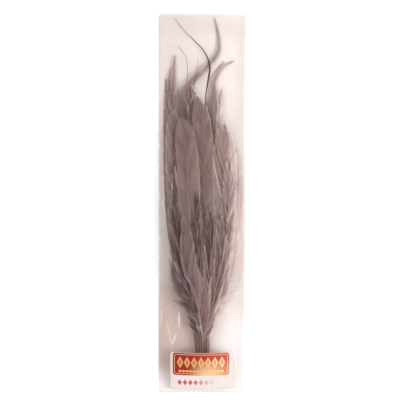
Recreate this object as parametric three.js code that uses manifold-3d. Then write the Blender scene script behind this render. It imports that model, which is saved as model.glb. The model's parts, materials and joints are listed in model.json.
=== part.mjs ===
// Rooster schlappen: a tied bunch of long, webby tail feathers lying flat in its clear sleeve.
// Millimetres, +Z up. The sleeve's back lies on z = 0 and the feather tips point along +Y.
// The origin is under the middle of the sleeve.

import * as THREE from "three";
import { mergeVertices } from "three/addons/utils/BufferGeometryUtils.js";
import Module from "manifold-3d";

const wasm = await Module();
wasm.setup();

const { clamp, degToRad, lerp, smoothstep } = THREE.MathUtils;

// Sleeve: a flat tube of clear film, sealed at both sides and at the bottom
const SLEEVE_HALF_WIDTH = 38;
const SLEEVE_HALF_LENGTH = 163;
const FILM = 0.35;
const SEAM_WIDTH = 1.2;
const SEAM_HEIGHT = 1;
const SEAM_OPENING = 0.3;
const BOTTOM_SEAL = 2.2;
const MOUTH_Y = 161;
// Height of the front film over the middle line, from the bottom seal to the mouth: [y, height]
const FRONT_PROFILE = [
  [-161.5, 4.4], [-156, 7.4], [-147, 10.4], [-127, 11.2], [-111, 13.6], [-90, 17.4], [-60, 19.9],
  [0, 20.3], [55, 19.2], [92, 15.2], [120, 10.2], [142, 5.8], [161, 1.6],
];
// Places across half of the sleeve where its section has a corner, as shares of the half width
const WIDTH_SHARES = [1, 0.965, 0.88, 0.7, 0.38];

// Flap: the sleeve's back film, folded over the mouth and down on the front
const FLAP_LENGTH = 19;
const FLAP_HALF_WIDTH = 37.2;
const FLAP_GAP = 0.5;
const FLAP_ROOT = 2;

// Card: a paper label under the front film, over the quill ends
const CARD_CENTRE_X = -1;
const CARD_TOP_Y = -127.5;
const CARD_WIDTH = 54;
const CARD_HEIGHT = 32;
const CARD_THICKNESS = 0.3;
const CARD_CORNER = 3;
const CARD_GAP = 0.35;

// Quills: packed in rows above one another and bound with thread
const QUILL_END_Y = -147;
const NECK_Y = -136;
const QUILL_RADIUS = 0.62;
const QUILL_PITCH_X = 1.85;
const QUILL_PITCH_Z = 1.45;
const QUILL_FLOOR_Z = 2;
const ROW_SIZES = [6, 6, 6, 5, 5];

// Thread: a few tight turns around all the quills
const THREAD_Y = -139;
const THREAD_TURNS = 4;
const THREAD_DIAMETER = 0.55;
const THREAD_GAP = 0.25;
const THREAD_CORNER = 1.25;

// Stack: every feather lies in a layer of its own above the back film
const STACK_FLOOR_Z = 0.6;
const STACK_HEIGHT = 18.2;
const NECK_CLOSENESS = 0.5;
const FULL_STACK_Y = -50;
const TIPS_Y = 40;
const TIP_CLOSENESS = 0.05;
const SIDE_DROP = 0.4;
const SIDE_REACH = 36;

// Vanes and shafts
const VANE_START_Y = -122;
const VANE_FILL = 0.36;
const SHAFT_RADIUS = 0.42;
const TIP_RADIUS = 0.16;
const THIN_SHARE = 0.42;
const BARB_SWEEP = 0.55;
const RING_STEP = 13.6;

const DARK_TAUPE = new THREE.Color(0x5d4a49);
const PALE_DOWN = new THREE.Color(0xcdbab6);

// The feathers from the back of the bunch to its front. A path runs from above the neck to the tip.
// left and right are the half widths of the vane, and blunt goes from 1 for a spear tip to 5 for a
// round one. thin is the length of narrow blade before the tip. bare is the length of shaft with no
// vane at the tip, and stout its radius where the vane ends. shade goes from 0, dark taupe, to 1,
// pale down.
const FEATHERS = [
  { left: 3.6, right: 6, shade: 0.45,
    path: [[-12, -92], [-24, -45], [-30, 10], [-30.5, 60], [-31, 95], [-32, 108]] },
  { left: 6, right: 5, thin: 24, shade: 0.4,
    path: [[2, -90], [6, -40], [8, 10], [8.5, 60], [9, 97], [12, 112], [18.5, 122.5]] },
  { left: 8, right: 5, blunt: 2, shade: 0.8,
    path: [[10, -92], [22, -50], [28, -10], [30, 12], [30.5, 33]] },
  { left: 8, right: 5.5, blunt: 3, shade: 1,
    path: [[8, -105], [16, -86], [24, -66], [28, -46], [29.5, -24]] },
  { left: 5, right: 7, shade: 0.45,
    path: [[-10, -90], [-20, -45], [-26, 10], [-27.5, 60], [-28.5, 95], [-28, 116]] },
  { left: 6, right: 6, thin: 26, shade: 0.35,
    path: [[3, -90], [8, -40], [9.5, 10], [9.5, 60], [9, 92], [10.5, 107], [17, 116.5], [27, 122.5]] },
  { left: 9, right: 5.5, blunt: 2, shade: 0.65,
    path: [[9, -92], [20, -50], [26, 0], [28, 25], [29, 48]] },
  { left: 6, right: 6, thin: 16, shade: 0.6,
    path: [[5, -90], [12, -45], [15, 0], [15.5, 50], [14.5, 82], [16.8, 99.5]] },
  { left: 6.5, right: 7, thin: 24, shade: 0.5,
    path: [[-9, -90], [-19, -45], [-24, 10], [-25, 60], [-25.5, 95], [-25.2, 112], [-23.7, 128.5]] },
  { left: 9.5, right: 8, blunt: 3, bare: 36, stout: 0.3, shade: 0.3,
    path: [[-6, -90], [-12, -45], [-15, 10], [-15, 60], [-14.5, 92], [-13, 112], [-14.2, 125],
      [-21, 135.5]] },
  { left: 7.5, right: 7.5, thin: 62, shade: 0.4,
    path: [[-5, -90], [-9, -45], [-13, 10], [-16, 60], [-17, 84], [-14.5, 97], [-7.5, 106.5],
      [4, 117.5], [12.5, 128], [14.2, 139], [12.8, 149], [10.2, 160]] },
  { left: 8, right: 8, bare: 28, stout: 0.3, shade: 0.25,
    path: [[-4, -90], [-6, -45], [-8, 10], [-9, 60], [-8.5, 92], [-5.5, 112], [-3.5, 125]] },
  { left: 8, right: 7, blunt: 2, shade: 0.7,
    path: [[8, -92], [17, -50], [22, -5], [23.5, 35], [22.5, 62]] },
  { left: 6.5, right: 7, blunt: 3, shade: 0.42,
    path: [[-9, -92], [-19, -50], [-24.5, 0], [-26, 40], [-26, 80]] },
  { left: 7, right: 7, bare: 84, stout: 0.85, shade: 0,
    path: [[2, -90], [4, -45], [4.5, 10], [3.5, 60], [2.5, 89], [5.2, 108], [6.3, 117], [2.2, 129.5],
      [-7, 140], [-16.5, 149.5], [-24.3, 160]] },
  { left: 9, right: 8, blunt: 2, shade: 0.2,
    path: [[-4, -90], [-9, -45], [-13, 0], [-14, 45], [-12, 75], [-8.5, 98]] },
  { left: 7, right: 7, blunt: 2, shade: 0.6,
    path: [[6, -90], [14, -50], [18, -5], [19, 35], [18.5, 70]] },
  { left: 9, right: 9, blunt: 2, shade: 0.3,
    path: [[0, -90], [-1, -40], [-3, 10], [-3.5, 50], [-3, 84]] },
  { left: 8.8, right: 8.8, blunt: 2.2, shade: 0.35,
    path: [[1, -90], [3, -40], [1.5, 10], [0.5, 50], [-1.5, 75], [-5.5, 92.5]] },
  { left: 7, right: 6.5, blunt: 2, shade: 0.65,
    path: [[7, -100], [14, -78], [18, -50], [21, -15], [23, 5], [22, 39]] },
  { left: 7.5, right: 8, blunt: 2, shade: 0.12,
    path: [[-5, -108], [-10, -88], [-17, -67], [-21, -45], [-23.5, -20], [-24.5, 8]] },
  { left: 8, right: 8, blunt: 2, shade: 0.3,
    path: [[-6, -98], [-14, -60], [-19, -25], [-21, 5], [-21.5, 36]] },
  { left: 9, right: 10.5, blunt: 2.6, shade: 0.4,
    path: [[-4, -95], [-9, -50], [-12, 0], [-13.5, 35], [-16, 58], [-19, 74]] },
  { left: 6, right: 7, blunt: 1.5, shade: 0.05,
    path: [[-5.5, -102], [-14, -68], [-20, -36], [-23.5, -8], [-25, 13]] },
  { left: 8, right: 7.5, blunt: 1.5, shade: 0.3,
    path: [[-2, -95], [-4, -55], [-5, -25], [-5, 11]] },
  { left: 7, right: 8, blunt: 1.5, shade: 0.35,
    path: [[3, -95], [6, -60], [7, -30], [5, -2]] },
  { left: 7, right: 7.5, blunt: 1.5, shade: 0.55,
    path: [[6, -98], [12, -70], [15.5, -45], [15.5, -10]] },
  { left: 2, right: 12, blunt: 5, shade: 0.4,
    path: [[0.2, -118], [-1.8, -100], [-4.7, -86], [-8.5, -72], [-14.5, -59], [-17.3, -46],
      [-17.6, -33], [-17, -22]] },
];

function point(x, y, z) {
  return new THREE.Vector3(x, y, z);
}

// Closed meshes
function meshFrom(points, triangles) {
  const coordinates = points.flatMap((p) => p.toArray());
  const geometry = new THREE.BufferGeometry();
  geometry.setAttribute("position", new THREE.Float32BufferAttribute(coordinates, 3));
  geometry.setIndex(triangles.flat());
  geometry.computeVertexNormals();
  return geometry;
}

// A skin through rings of the same number of points, each counter-clockwise as seen from in front
// of the first ring, with a flat fan on the first and the last ring
function loft(rings) {
  const around = rings[0].length;
  const triangles = [];
  for (let ring = 0; ring + 1 < rings.length; ring += 1) {
    for (let i = 0; i < around; i += 1) {
      const a = ring * around + i;
      const b = ring * around + ((i + 1) % around);
      triangles.push([a, b + around, b], [a, a + around, b + around]);
    }
  }
  const last = (rings.length - 1) * around;
  for (let i = 1; i + 1 < around; i += 1) {
    triangles.push([0, i, i + 1], [last, last + i + 1, last + i]);
  }
  return meshFrom(rings.flat(), triangles);
}

// A sheet with thickness: rows of lower points, and rows of upper points over them
function sheet(lower, upper) {
  const rows = lower.length;
  const columns = lower[0].length;
  const count = rows * columns;
  const at = (row, column) => row * columns + column;
  const triangles = [];
  for (let r = 0; r + 1 < rows; r += 1) {
    for (let c = 0; c + 1 < columns; c += 1) {
      const [a, b, d, e] = [at(r, c), at(r, c + 1), at(r + 1, c + 1), at(r + 1, c)];
      triangles.push([a, d, b], [a, e, d]);
      triangles.push([count + a, count + b, count + d], [count + a, count + d, count + e]);
    }
  }
  const across = Array.from({ length: columns - 1 }, (_, c) => c);
  const along = Array.from({ length: rows - 1 }, (_, r) => r);
  const rim = [
    ...across.map((c) => at(0, c)),
    ...along.map((r) => at(r, columns - 1)),
    ...across.map((c) => at(rows - 1, columns - 1 - c)),
    ...along.map((r) => at(rows - 1 - r, 0)),
  ];
  rim.forEach((a, i) => {
    const b = rim[(i + 1) % rim.length];
    triangles.push([a, b, count + b], [a, count + b, count + a]);
  });
  return meshFrom([...lower.flat(), ...upper.flat()], triangles);
}

// A closed band: the same section of points at each place around a loop
function band(sections) {
  const around = sections[0].length;
  const triangles = [];
  sections.forEach((_, i) => {
    const here = i * around;
    const there = ((i + 1) % sections.length) * around;
    for (let j = 0; j < around; j += 1) {
      const k = (j + 1) % around;
      triangles.push([here + j, there + k, here + k], [here + j, there + j, there + k]);
    }
  });
  return meshFrom(sections.flat(), triangles);
}

function toSolid(geometry) {
  const bare = geometry.clone();
  bare.deleteAttribute("normal");
  const merged = mergeVertices(bare, 1e-4);
  const vertProperties = new Float32Array(merged.attributes.position.array);
  const triVerts = new Uint32Array(merged.index.array);
  return new wasm.Manifold(new wasm.Mesh({ numProp: 3, vertProperties, triVerts }));
}

function toGeometry(solid) {
  const { vertProperties, triVerts } = solid.getMesh();
  const geometry = new THREE.BufferGeometry();
  geometry.setAttribute("position", new THREE.BufferAttribute(vertProperties, 3));
  geometry.setIndex(new THREE.BufferAttribute(triVerts, 1));
  geometry.computeVertexNormals();
  return geometry;
}

// Feather: where it lies
// Spacing of the layers at a place. It is widest over the middle of the bunch, and closer at its
// sides, at its neck and towards the mouth.
function layerSpacing(x, y) {
  const neck = lerp(NECK_CLOSENESS, 1, smoothstep(y, VANE_START_Y, FULL_STACK_Y));
  const tips = lerp(1, TIP_CLOSENESS, smoothstep(y, TIPS_Y, SLEEVE_HALF_LENGTH));
  const side = 1 - SIDE_DROP * (x / SIDE_REACH) ** 2;
  return (STACK_HEIGHT / FEATHERS.length) * neck * tips * side;
}

// Where a feather's quill stands in the bound stack: each row is in the order in which its
// feathers fan out
function quillPlace(layer) {
  let first = 0;
  let row = 0;
  while (layer >= first + ROW_SIZES[row]) {
    first += ROW_SIZES[row];
    row += 1;
  }
  const inRow = Array.from({ length: ROW_SIZES[row] }, (_, i) => first + i);
  inRow.sort((a, b) => FEATHERS[a].path[0][0] - FEATHERS[b].path[0][0]);
  const column = inRow.indexOf(layer) - (ROW_SIZES[row] - 1) / 2;
  return { x: column * QUILL_PITCH_X, z: QUILL_FLOOR_Z + row * QUILL_PITCH_Z };
}

// 0 in the bound quills, and 1 where the feathers lie in their layers
function spread(y) {
  return smoothstep(y, NECK_Y, VANE_START_Y);
}

// Height of a feather's middle plane
function featherHeight(layer, quillZ, x, y) {
  const layered = STACK_FLOOR_Z + (layer + 0.5) * layerSpacing(x, y);
  return lerp(quillZ, layered, spread(y));
}

// Feather: its outline
// Half width of the vane as a share of its widest, at a distance from where the vane starts
function vaneShare({ bare = 0, thin = 0, blunt = 1 }, distance, length) {
  const bladeEnd = length - bare;
  if (distance <= 0 || distance >= bladeEnd) return 0;
  const rise = smoothstep(distance, 0, 0.16 * bladeEnd);
  const shoulder = Math.max(0.45 * bladeEnd, bladeEnd - thin - 45);
  const bodyEnd = bladeEnd - 0.9 * thin;
  const past = clamp((distance - shoulder) / (bodyEnd - shoulder), 0, 1);
  const body = (1 - past ** (blunt + 0.6)) ** 0.8;
  const blade = thin > 0 ? THIN_SHARE * clamp((bladeEnd - distance) / thin, 0, 1) ** 0.6 : 0;
  return rise * Math.max(body, blade);
}

// Barbs part into locks, so the edge steps in and out along the vane, most of all in the down
function lockShare(ring, layer, side, distance) {
  const depth = lerp(0.34, 0.14, smoothstep(distance, 10, 110));
  return 1 - depth * (0.5 + 0.5 * Math.sin(2.6 * ring + 1.7 * layer + 2.1 * side));
}

// Radius of the shaft: full in the quill, fine at the tip
function shaftRadius({ bare = 0, stout = TIP_RADIUS }, y, distance, length) {
  const bladeEnd = length - bare;
  const alongBlade = lerp(SHAFT_RADIUS, stout, clamp(distance / bladeEnd, 0, 1));
  const pastBlade = smoothstep(distance, bladeEnd + 0.3 * bare, length);
  return lerp(QUILL_RADIUS, lerp(alongBlade, TIP_RADIUS, pastBlade), spread(y));
}

// One ring across a feather: its two vane edges, the web beside the shaft, and the shaft. Edge
// points sit forward of the shaft, as swept barbs do.
function featherRing(centre, along, widths, radius, heightAt) {
  const place = (offset, lift) => {
    const forward = BARB_SWEEP * Math.max(0, Math.abs(offset) - radius);
    const x = centre.x + along.y * offset + along.x * forward;
    const y = centre.y - along.x * offset + along.y * forward;
    const room = VANE_FILL * lerp(QUILL_PITCH_Z, layerSpacing(x, y), spread(y));
    return point(x, y, heightAt(x, y) + clamp(lift, -room, room));
  };
  const [left, right] = widths.map((width) => Math.max(width, radius));
  const web = (width) => Math.max(0.5 * width, 0.7 * radius);
  const webLift = (width) => (width > 2 * radius ? 0.4 : 0.7) * radius;
  return [
    place(-left, 0),
    place(-web(left), -webLift(left)),
    place(0, -radius),
    place(web(right), -webLift(right)),
    place(right, 0),
    place(web(right), webLift(right)),
    place(0, radius),
    place(-web(left), webLift(left)),
  ];
}

function buildFeather(feather, layer) {
  const quill = quillPlace(layer);
  const knots = [[quill.x, QUILL_END_Y], [quill.x, NECK_Y], ...feather.path];
  const curve = new THREE.CatmullRomCurve3(knots.map(([x, y]) => point(x, y, 0)), false, "centripetal");
  const total = curve.getLength();
  const vaneFrom = VANE_START_Y - QUILL_END_Y;
  const vaneLength = total - vaneFrom;
  const steps = Math.round(vaneLength / RING_STEP);
  const step = vaneLength / steps;
  const neck = NECK_Y - QUILL_END_Y;
  const upTheVane = Array.from({ length: steps - 1 }, (_, i) => vaneFrom + (i + 1) * step);
  const distances = [0, neck, (neck + vaneFrom) / 2, vaneFrom, ...upTheVane, total - 0.35 * step, total];

  const rings = distances.map((distance, ring) => {
    const centre = curve.getPointAt(distance / total);
    const along = curve.getTangentAt(distance / total);
    const onVane = distance - vaneFrom;
    const share = vaneShare(feather, onVane, vaneLength);
    const widths = [feather.left, feather.right].map((width, side) => {
      return width * share * lockShare(ring, layer, side, onVane);
    });
    const radius = shaftRadius(feather, centre.y, onVane, vaneLength);
    return featherRing(centre, along, widths, radius, (x, y) => featherHeight(layer, quill.z, x, y));
  });
  return loft(rings);
}

// Sleeve
// Height of the front film over the middle line
function frontMiddle(y) {
  const last = FRONT_PROFILE.length - 1;
  const next = clamp(FRONT_PROFILE.findIndex(([station]) => station >= y), 1, last);
  const [y0, z0] = FRONT_PROFILE[next - 1];
  const [y1, z1] = FRONT_PROFILE[next];
  return lerp(z0, z1, clamp((y - y0) / (y1 - y0), 0, 1));
}

// How full the sleeve is across its width: flat over the bunch, steep at the seams
function crossFullness(x, halfWidth) {
  const across = Math.min(Math.abs(x) / halfWidth, 1);
  return (1 - across ** 4) ** 0.6;
}

function frontInside(x, y) {
  const bulge = (frontMiddle(y) - FILM) * crossFullness(x, SLEEVE_HALF_WIDTH - SEAM_WIDTH);
  return FILM + Math.max(SEAM_OPENING, bulge);
}

function frontOutside(x, y) {
  return Math.max(SEAM_HEIGHT, (frontMiddle(y) + FILM) * crossFullness(x, SLEEVE_HALF_WIDTH));
}

function acrossSleeve(halfWidth) {
  const right = WIDTH_SHARES.map((share) => share * halfWidth);
  return [...right.map((x) => -x), 0, ...right.toReversed()];
}

function sleeveRing(y, halfWidth, backHalfWidth, backZ, heightAt) {
  const front = acrossSleeve(halfWidth).map((x) => point(x, y, heightAt(x, y)));
  return [...front, point(backHalfWidth, y, backZ), point(-backHalfWidth, y, backZ)].reverse();
}

// The film runs from the bottom seal up to the mouth outside, and back down inside
function buildTube() {
  const stations = FRONT_PROFILE.map(([y]) => y);
  const half = SLEEVE_HALF_WIDTH;
  const inner = half - SEAM_WIDTH;
  const bottom = sleeveRing(-SLEEVE_HALF_LENGTH, half, half, 0, () => SEAM_HEIGHT);
  const outside = stations.map((y) => sleeveRing(y, half, half, 0, frontOutside));
  const inside = [BOTTOM_SEAL - SLEEVE_HALF_LENGTH, ...stations.slice(1)].map((y) => {
    return sleeveRing(y, inner, inner - SEAM_OPENING, FILM, frontInside);
  });
  return loft([bottom, ...outside, ...inside.reverse()]);
}

// The flap is rooted in the back film at the mouth. It runs up over the mouth and down the front.
function buildFlap() {
  const fold = SLEEVE_HALF_LENGTH;
  const end = fold - FLAP_LENGTH;
  const outside = [];
  const lining = [];
  for (const x of acrossSleeve(FLAP_HALF_WIDTH)) {
    const under = (y) => frontOutside(x, y) + FLAP_GAP;
    const over = (y) => under(y) + FILM;
    outside.push([
      point(x, MOUTH_Y - FLAP_ROOT, 0.3 * FILM),
      point(x, MOUTH_Y + 0.5, 0.3 * FILM),
      point(x, fold, 0),
      point(x, fold, over(MOUTH_Y)),
      point(x, MOUTH_Y, over(MOUTH_Y)),
      point(x, end, over(end)),
    ]);
    lining.push([
      point(x, MOUTH_Y - FLAP_ROOT, 0.7 * FILM),
      point(x, MOUTH_Y + 0.5, 0.7 * FILM),
      point(x, fold - FILM, FILM),
      point(x, fold - FILM, under(MOUTH_Y)),
      point(x, MOUTH_Y, under(MOUTH_Y)),
      point(x, end, under(end)),
    ]);
  }
  return sheet(outside, lining);
}

function buildSleeve() {
  return toGeometry(toSolid(buildTube()).add(toSolid(buildFlap())));
}

// Card: it follows the film over it, so it bows over the quills
function buildCard() {
  const corner = CARD_CORNER / CARD_WIDTH;
  const columns = [0, 0.02, corner, 0.28, 0.5, 0.72, 1 - corner, 0.98, 1];
  const rows = [1, 0.5, 0];
  const underside = [];
  const face = [];
  for (const down of rows) {
    const places = columns.map((across) => {
      const fromEdge = Math.min(across, 1 - across) * CARD_WIDTH;
      const reach = Math.max(0, CARD_CORNER - fromEdge);
      const inset = CARD_CORNER - Math.sqrt(CARD_CORNER ** 2 - reach ** 2);
      const x = CARD_CENTRE_X + (across - 0.5) * CARD_WIDTH;
      const y = CARD_TOP_Y - lerp(inset, CARD_HEIGHT - inset, down);
      return point(x, y, frontInside(x, y) - CARD_GAP);
    });
    face.push(places);
    underside.push(places.map(({ x, y, z }) => point(x, y, z - CARD_THICKNESS)));
  }
  return sheet(underside, face);
}

// Thread: a ridged band that follows the outside of the stack of quills, clear of it
function buildThread() {
  const middleZ = QUILL_FLOOR_Z + ((ROW_SIZES.length - 1) / 2) * QUILL_PITCH_Z;
  const clear = QUILL_RADIUS + THREAD_GAP - THREAD_CORNER;
  const hubX = ((Math.max(...ROW_SIZES) - 1) / 2) * QUILL_PITCH_X + clear;
  const hubZ = ((ROW_SIZES.length - 1) / 2) * QUILL_PITCH_Z + clear;
  const half = (THREAD_TURNS * THREAD_DIAMETER) / 2;
  const profile = [[0, -half], [0, half]];
  for (let turn = THREAD_TURNS - 1; turn >= 0; turn -= 1) {
    const turnY = (turn + 0.5) * THREAD_DIAMETER - half;
    profile.push([THREAD_DIAMETER, turnY]);
    if (turn > 0) profile.push([0.55 * THREAD_DIAMETER, turnY - THREAD_DIAMETER / 2]);
  }
  const sections = [];
  for (const [sideX, sideZ, from] of [[1, 1, 0], [-1, 1, 90], [-1, -1, 180], [1, -1, 270]]) {
    for (const step of [0, 45, 90]) {
      const angle = degToRad(from + step);
      sections.push(profile.map(([out, y]) => {
        const radius = THREAD_CORNER + out;
        const x = sideX * hubX + radius * Math.cos(angle);
        return point(x, THREAD_Y + y, middleZ + sideZ * hubZ + radius * Math.sin(angle));
      }));
    }
  }
  return band(sections);
}

function named(name, geometry, finish) {
  const mesh = new THREE.Mesh(geometry, new THREE.MeshStandardMaterial({ metalness: 0, ...finish }));
  mesh.name = name;
  return mesh;
}

const bunch = new THREE.Group();
FEATHERS.forEach((feather, layer) => {
  const name = `feather_${String(layer + 1).padStart(2, "0")}`;
  const color = DARK_TAUPE.clone().lerp(PALE_DOWN, feather.shade);
  bunch.add(named(name, buildFeather(feather, layer), { color, roughness: 0.75, flatShading: true }));
});
bunch.add(named("quill_thread", buildThread(), { color: 0xd8cfc4, roughness: 0.8 }));

const packaging = new THREE.Group();
packaging.add(named("label_card", buildCard(), { color: 0xf6f2ee, roughness: 0.55 }));
packaging.add(named("film_sleeve", buildSleeve(), {
  color: 0xf8ece8, roughness: 0.12, transparent: true, opacity: 0.2,
}));

const schlappen = new THREE.Group();
schlappen.add(bunch, packaging);

export default schlappen;
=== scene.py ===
"""Rooster schlappen: a tied bunch of long, webby tail feathers lying flat in a clear sleeve.

The scene is in metres with +Z up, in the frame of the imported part: the sleeve's back lies on
z = 0 and the feather tips point along +Y. Shapes are worked out in millimetres, as the part's
are, and become metres when their mesh is made.
"""

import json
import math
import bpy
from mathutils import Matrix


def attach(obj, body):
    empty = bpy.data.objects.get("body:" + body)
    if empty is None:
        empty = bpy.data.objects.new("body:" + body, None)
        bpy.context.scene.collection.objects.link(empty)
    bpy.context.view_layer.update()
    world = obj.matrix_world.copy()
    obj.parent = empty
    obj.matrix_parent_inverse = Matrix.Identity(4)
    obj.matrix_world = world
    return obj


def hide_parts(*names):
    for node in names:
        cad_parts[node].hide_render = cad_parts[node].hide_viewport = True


bl_info = {
    "name": "Rooster Schlappen",
    "version": (1, 0, 0),
    "blender": (4, 5, 0),
    "location": "3D View > Sidebar > Schlappen",
    "description": "A tied bunch of long tail feathers in a clear sleeve with a label card",
    "category": "Add Mesh",
}

import bpy
import numpy as np
from bpy.props import FloatProperty, FloatVectorProperty, IntProperty, PointerProperty

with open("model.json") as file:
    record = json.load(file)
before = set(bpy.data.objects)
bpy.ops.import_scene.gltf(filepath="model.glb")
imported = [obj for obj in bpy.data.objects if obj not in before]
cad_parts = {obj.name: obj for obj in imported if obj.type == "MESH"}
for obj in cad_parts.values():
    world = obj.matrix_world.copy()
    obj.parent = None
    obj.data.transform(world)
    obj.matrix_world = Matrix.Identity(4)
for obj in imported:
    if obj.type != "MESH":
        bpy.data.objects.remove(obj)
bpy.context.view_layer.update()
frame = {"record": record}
MM = 0.001

# Sleeve. Lengths here and below are in millimetres.
SLEEVE_HALF_WIDTH = 38
SLEEVE_HALF_LENGTH = 163
FILM = 0.35
SEAM_WIDTH = 1.2
SEAM_OPENING = 0.3
BOTTOM_SEAL = 2.2
INSIDE_HALF_WIDTH = 36.2
MOUTH_Y = 161
FRONT_PROFILE = np.array([
    (-161.5, 4.4), (-156, 7.4), (-147, 10.4), (-127, 11.2), (-111, 13.6), (-90, 17.4),
    (-60, 19.9), (0, 20.3), (55, 19.2), (92, 15.2), (120, 10.2), (142, 5.8), (161, 1.6),
])
FLAP_LENGTH = 19
FLAP_HALF_WIDTH = 37.2
FLAP_GAP = 0.5
FLAP_WAVE = 0.12
SLEEVE_COLUMNS = 109
SLEEVE_ROW_STEP = 1.35
FOLD_ROWS = 8
FLAP_ROWS = 16

# Haze of the film, from 0 where it is clear to 1 where it is whitest. On creases and crinkles it is
# a painted highlight, and at the right edge and the bottom seal painted light.
RIGHT_PAINTED_LIGHT = 0.45
LEFT_HAZE = 0.25
SEAL_PAINTED_LIGHT = 0.8
FLAP_HAZE = 0.12
FLAP_HAZE_Y = 154.5
FLAP_EDGE_HAZE = 0.3
CREASE_HIGHLIGHT = 0.9
CRINKLE_HIGHLIGHT = 0.3

# Heights of the film's wrinkles
RIPPLE_HEIGHT = 0.22
CRINKLE_HEIGHT = 0.12
BESIDE_CRINKLE_HEIGHT = 0.45
CREASE_SHARE = 0.7

# Card
CARD_CENTRE_X = -1
CARD_TOP_Y = -127.5
CARD_WIDTH = 54
CARD_HEIGHT = 32
CARD_THICKNESS = 0.3
CARD_CORNER = 3
CARD_GAP = 0.35
CARD_BOW = 1.5
CARD_WAVE = 0.12
CARD_COLUMNS = 73
CARD_ROWS = 41

# Print on the card: x from the sleeve's middle line, and y from the card's top edge. A box has its
# half width, its half height and its corner, and a row of lozenges its step, half height and y.
MAP_SIZE = 100
PLAIN_BACK = (0, 50)
PANEL_X = -1.3
PANEL_Y = -10.1
PANEL_BOX = (24.3, 9.7, 2.6)
KEYLINE_BOX = (22.9, 8.3, 1.8)
KEYLINE_HALF = 0.26
LARGE_LOZENGES = (6, 5.3, -8.6)
SMALL_LOZENGES = (3, 1.5, -16.2)
FOOT_LOZENGES = (4.6, 3, -26.2)
LARGE_ROW_HALF = 21
SMALL_ROW_HALF = 19.5
FOOT_ROW_HALF = 20.7
RULE_HALF = 0.6

# Where colours change, from one place to another, in metres as the shaders have them
HORN_ALONG = (-0.131, -0.11)
# The film's painted shade fades in across from the left and is strongest in a band low down,
# between its start and end; its painted light grows towards the bottom
SHADE_ACROSS = (-0.036, 0.03)
PAINTED_LIGHT_ALONG = (-0.16, -0.06)
SHADE_START = (-0.16, -0.122)
SHADE_END = (-0.1, -0.06)

# Colours that a user would not change
COOL_PATCH = (0.94, 0.96, 1)
WARM_PATCH = (1, 0.96, 0.93)
PAPER_FIBRE = (0.72, 0.68, 0.65)
BOARD_TOOTH = (0.84, 0.84, 0.84)

# Quills and thread
QUILL_END_Y = -147
NECK_Y = -136
QUILL_RADIUS = 0.62
QUILL_PITCH_X = 1.85
QUILL_PITCH_Z = 1.45
QUILL_FLOOR_Z = 2
ROW_SIZES = (6, 6, 6, 5, 5)
THREAD_Y = -139
THREAD_GAP = 0.25
THREAD_STEPS = 900
THREAD_SQUARENESS = 8
PLY_TWIST = 1.3
PLY_SIDES = 6
PLY_FULLNESS = 0.95

# Stack of feathers
STACK_FLOOR_Z = 0.6
STACK_HEIGHT = 18.2
NECK_CLOSENESS = 0.5
FULL_STACK_Y = -50
TIPS_Y = 40
TIP_CLOSENESS = 0.05
SIDE_DROP = 0.4
SIDE_REACH = 36

# Vanes and shafts
VANE_START_Y = -122
VANE_RISE = 0.16
SHOULDER_SHARE = 0.45
SHOULDER_LENGTH = 45
THIN_OVERLAP = 0.9
THIN_SHARE = 0.42
SHAFT_RADIUS = 0.42
TIP_RADIUS = 0.16
STOUTEST_SHARE = 0.3
BARE_STOUTNESS = 0.85
EDGE_SWEEP = 0.55
RAGGED_SOFTNESS = 0.8
SHAFT_SIDES = 8
SHAFT_STEP = 2.5
SHAFT_FLATNESS = 0.45
SHAFT_TONE = 0.48
SHAFT_SHADE_TONE = 0.35
END_PINCH = 0.15

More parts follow.
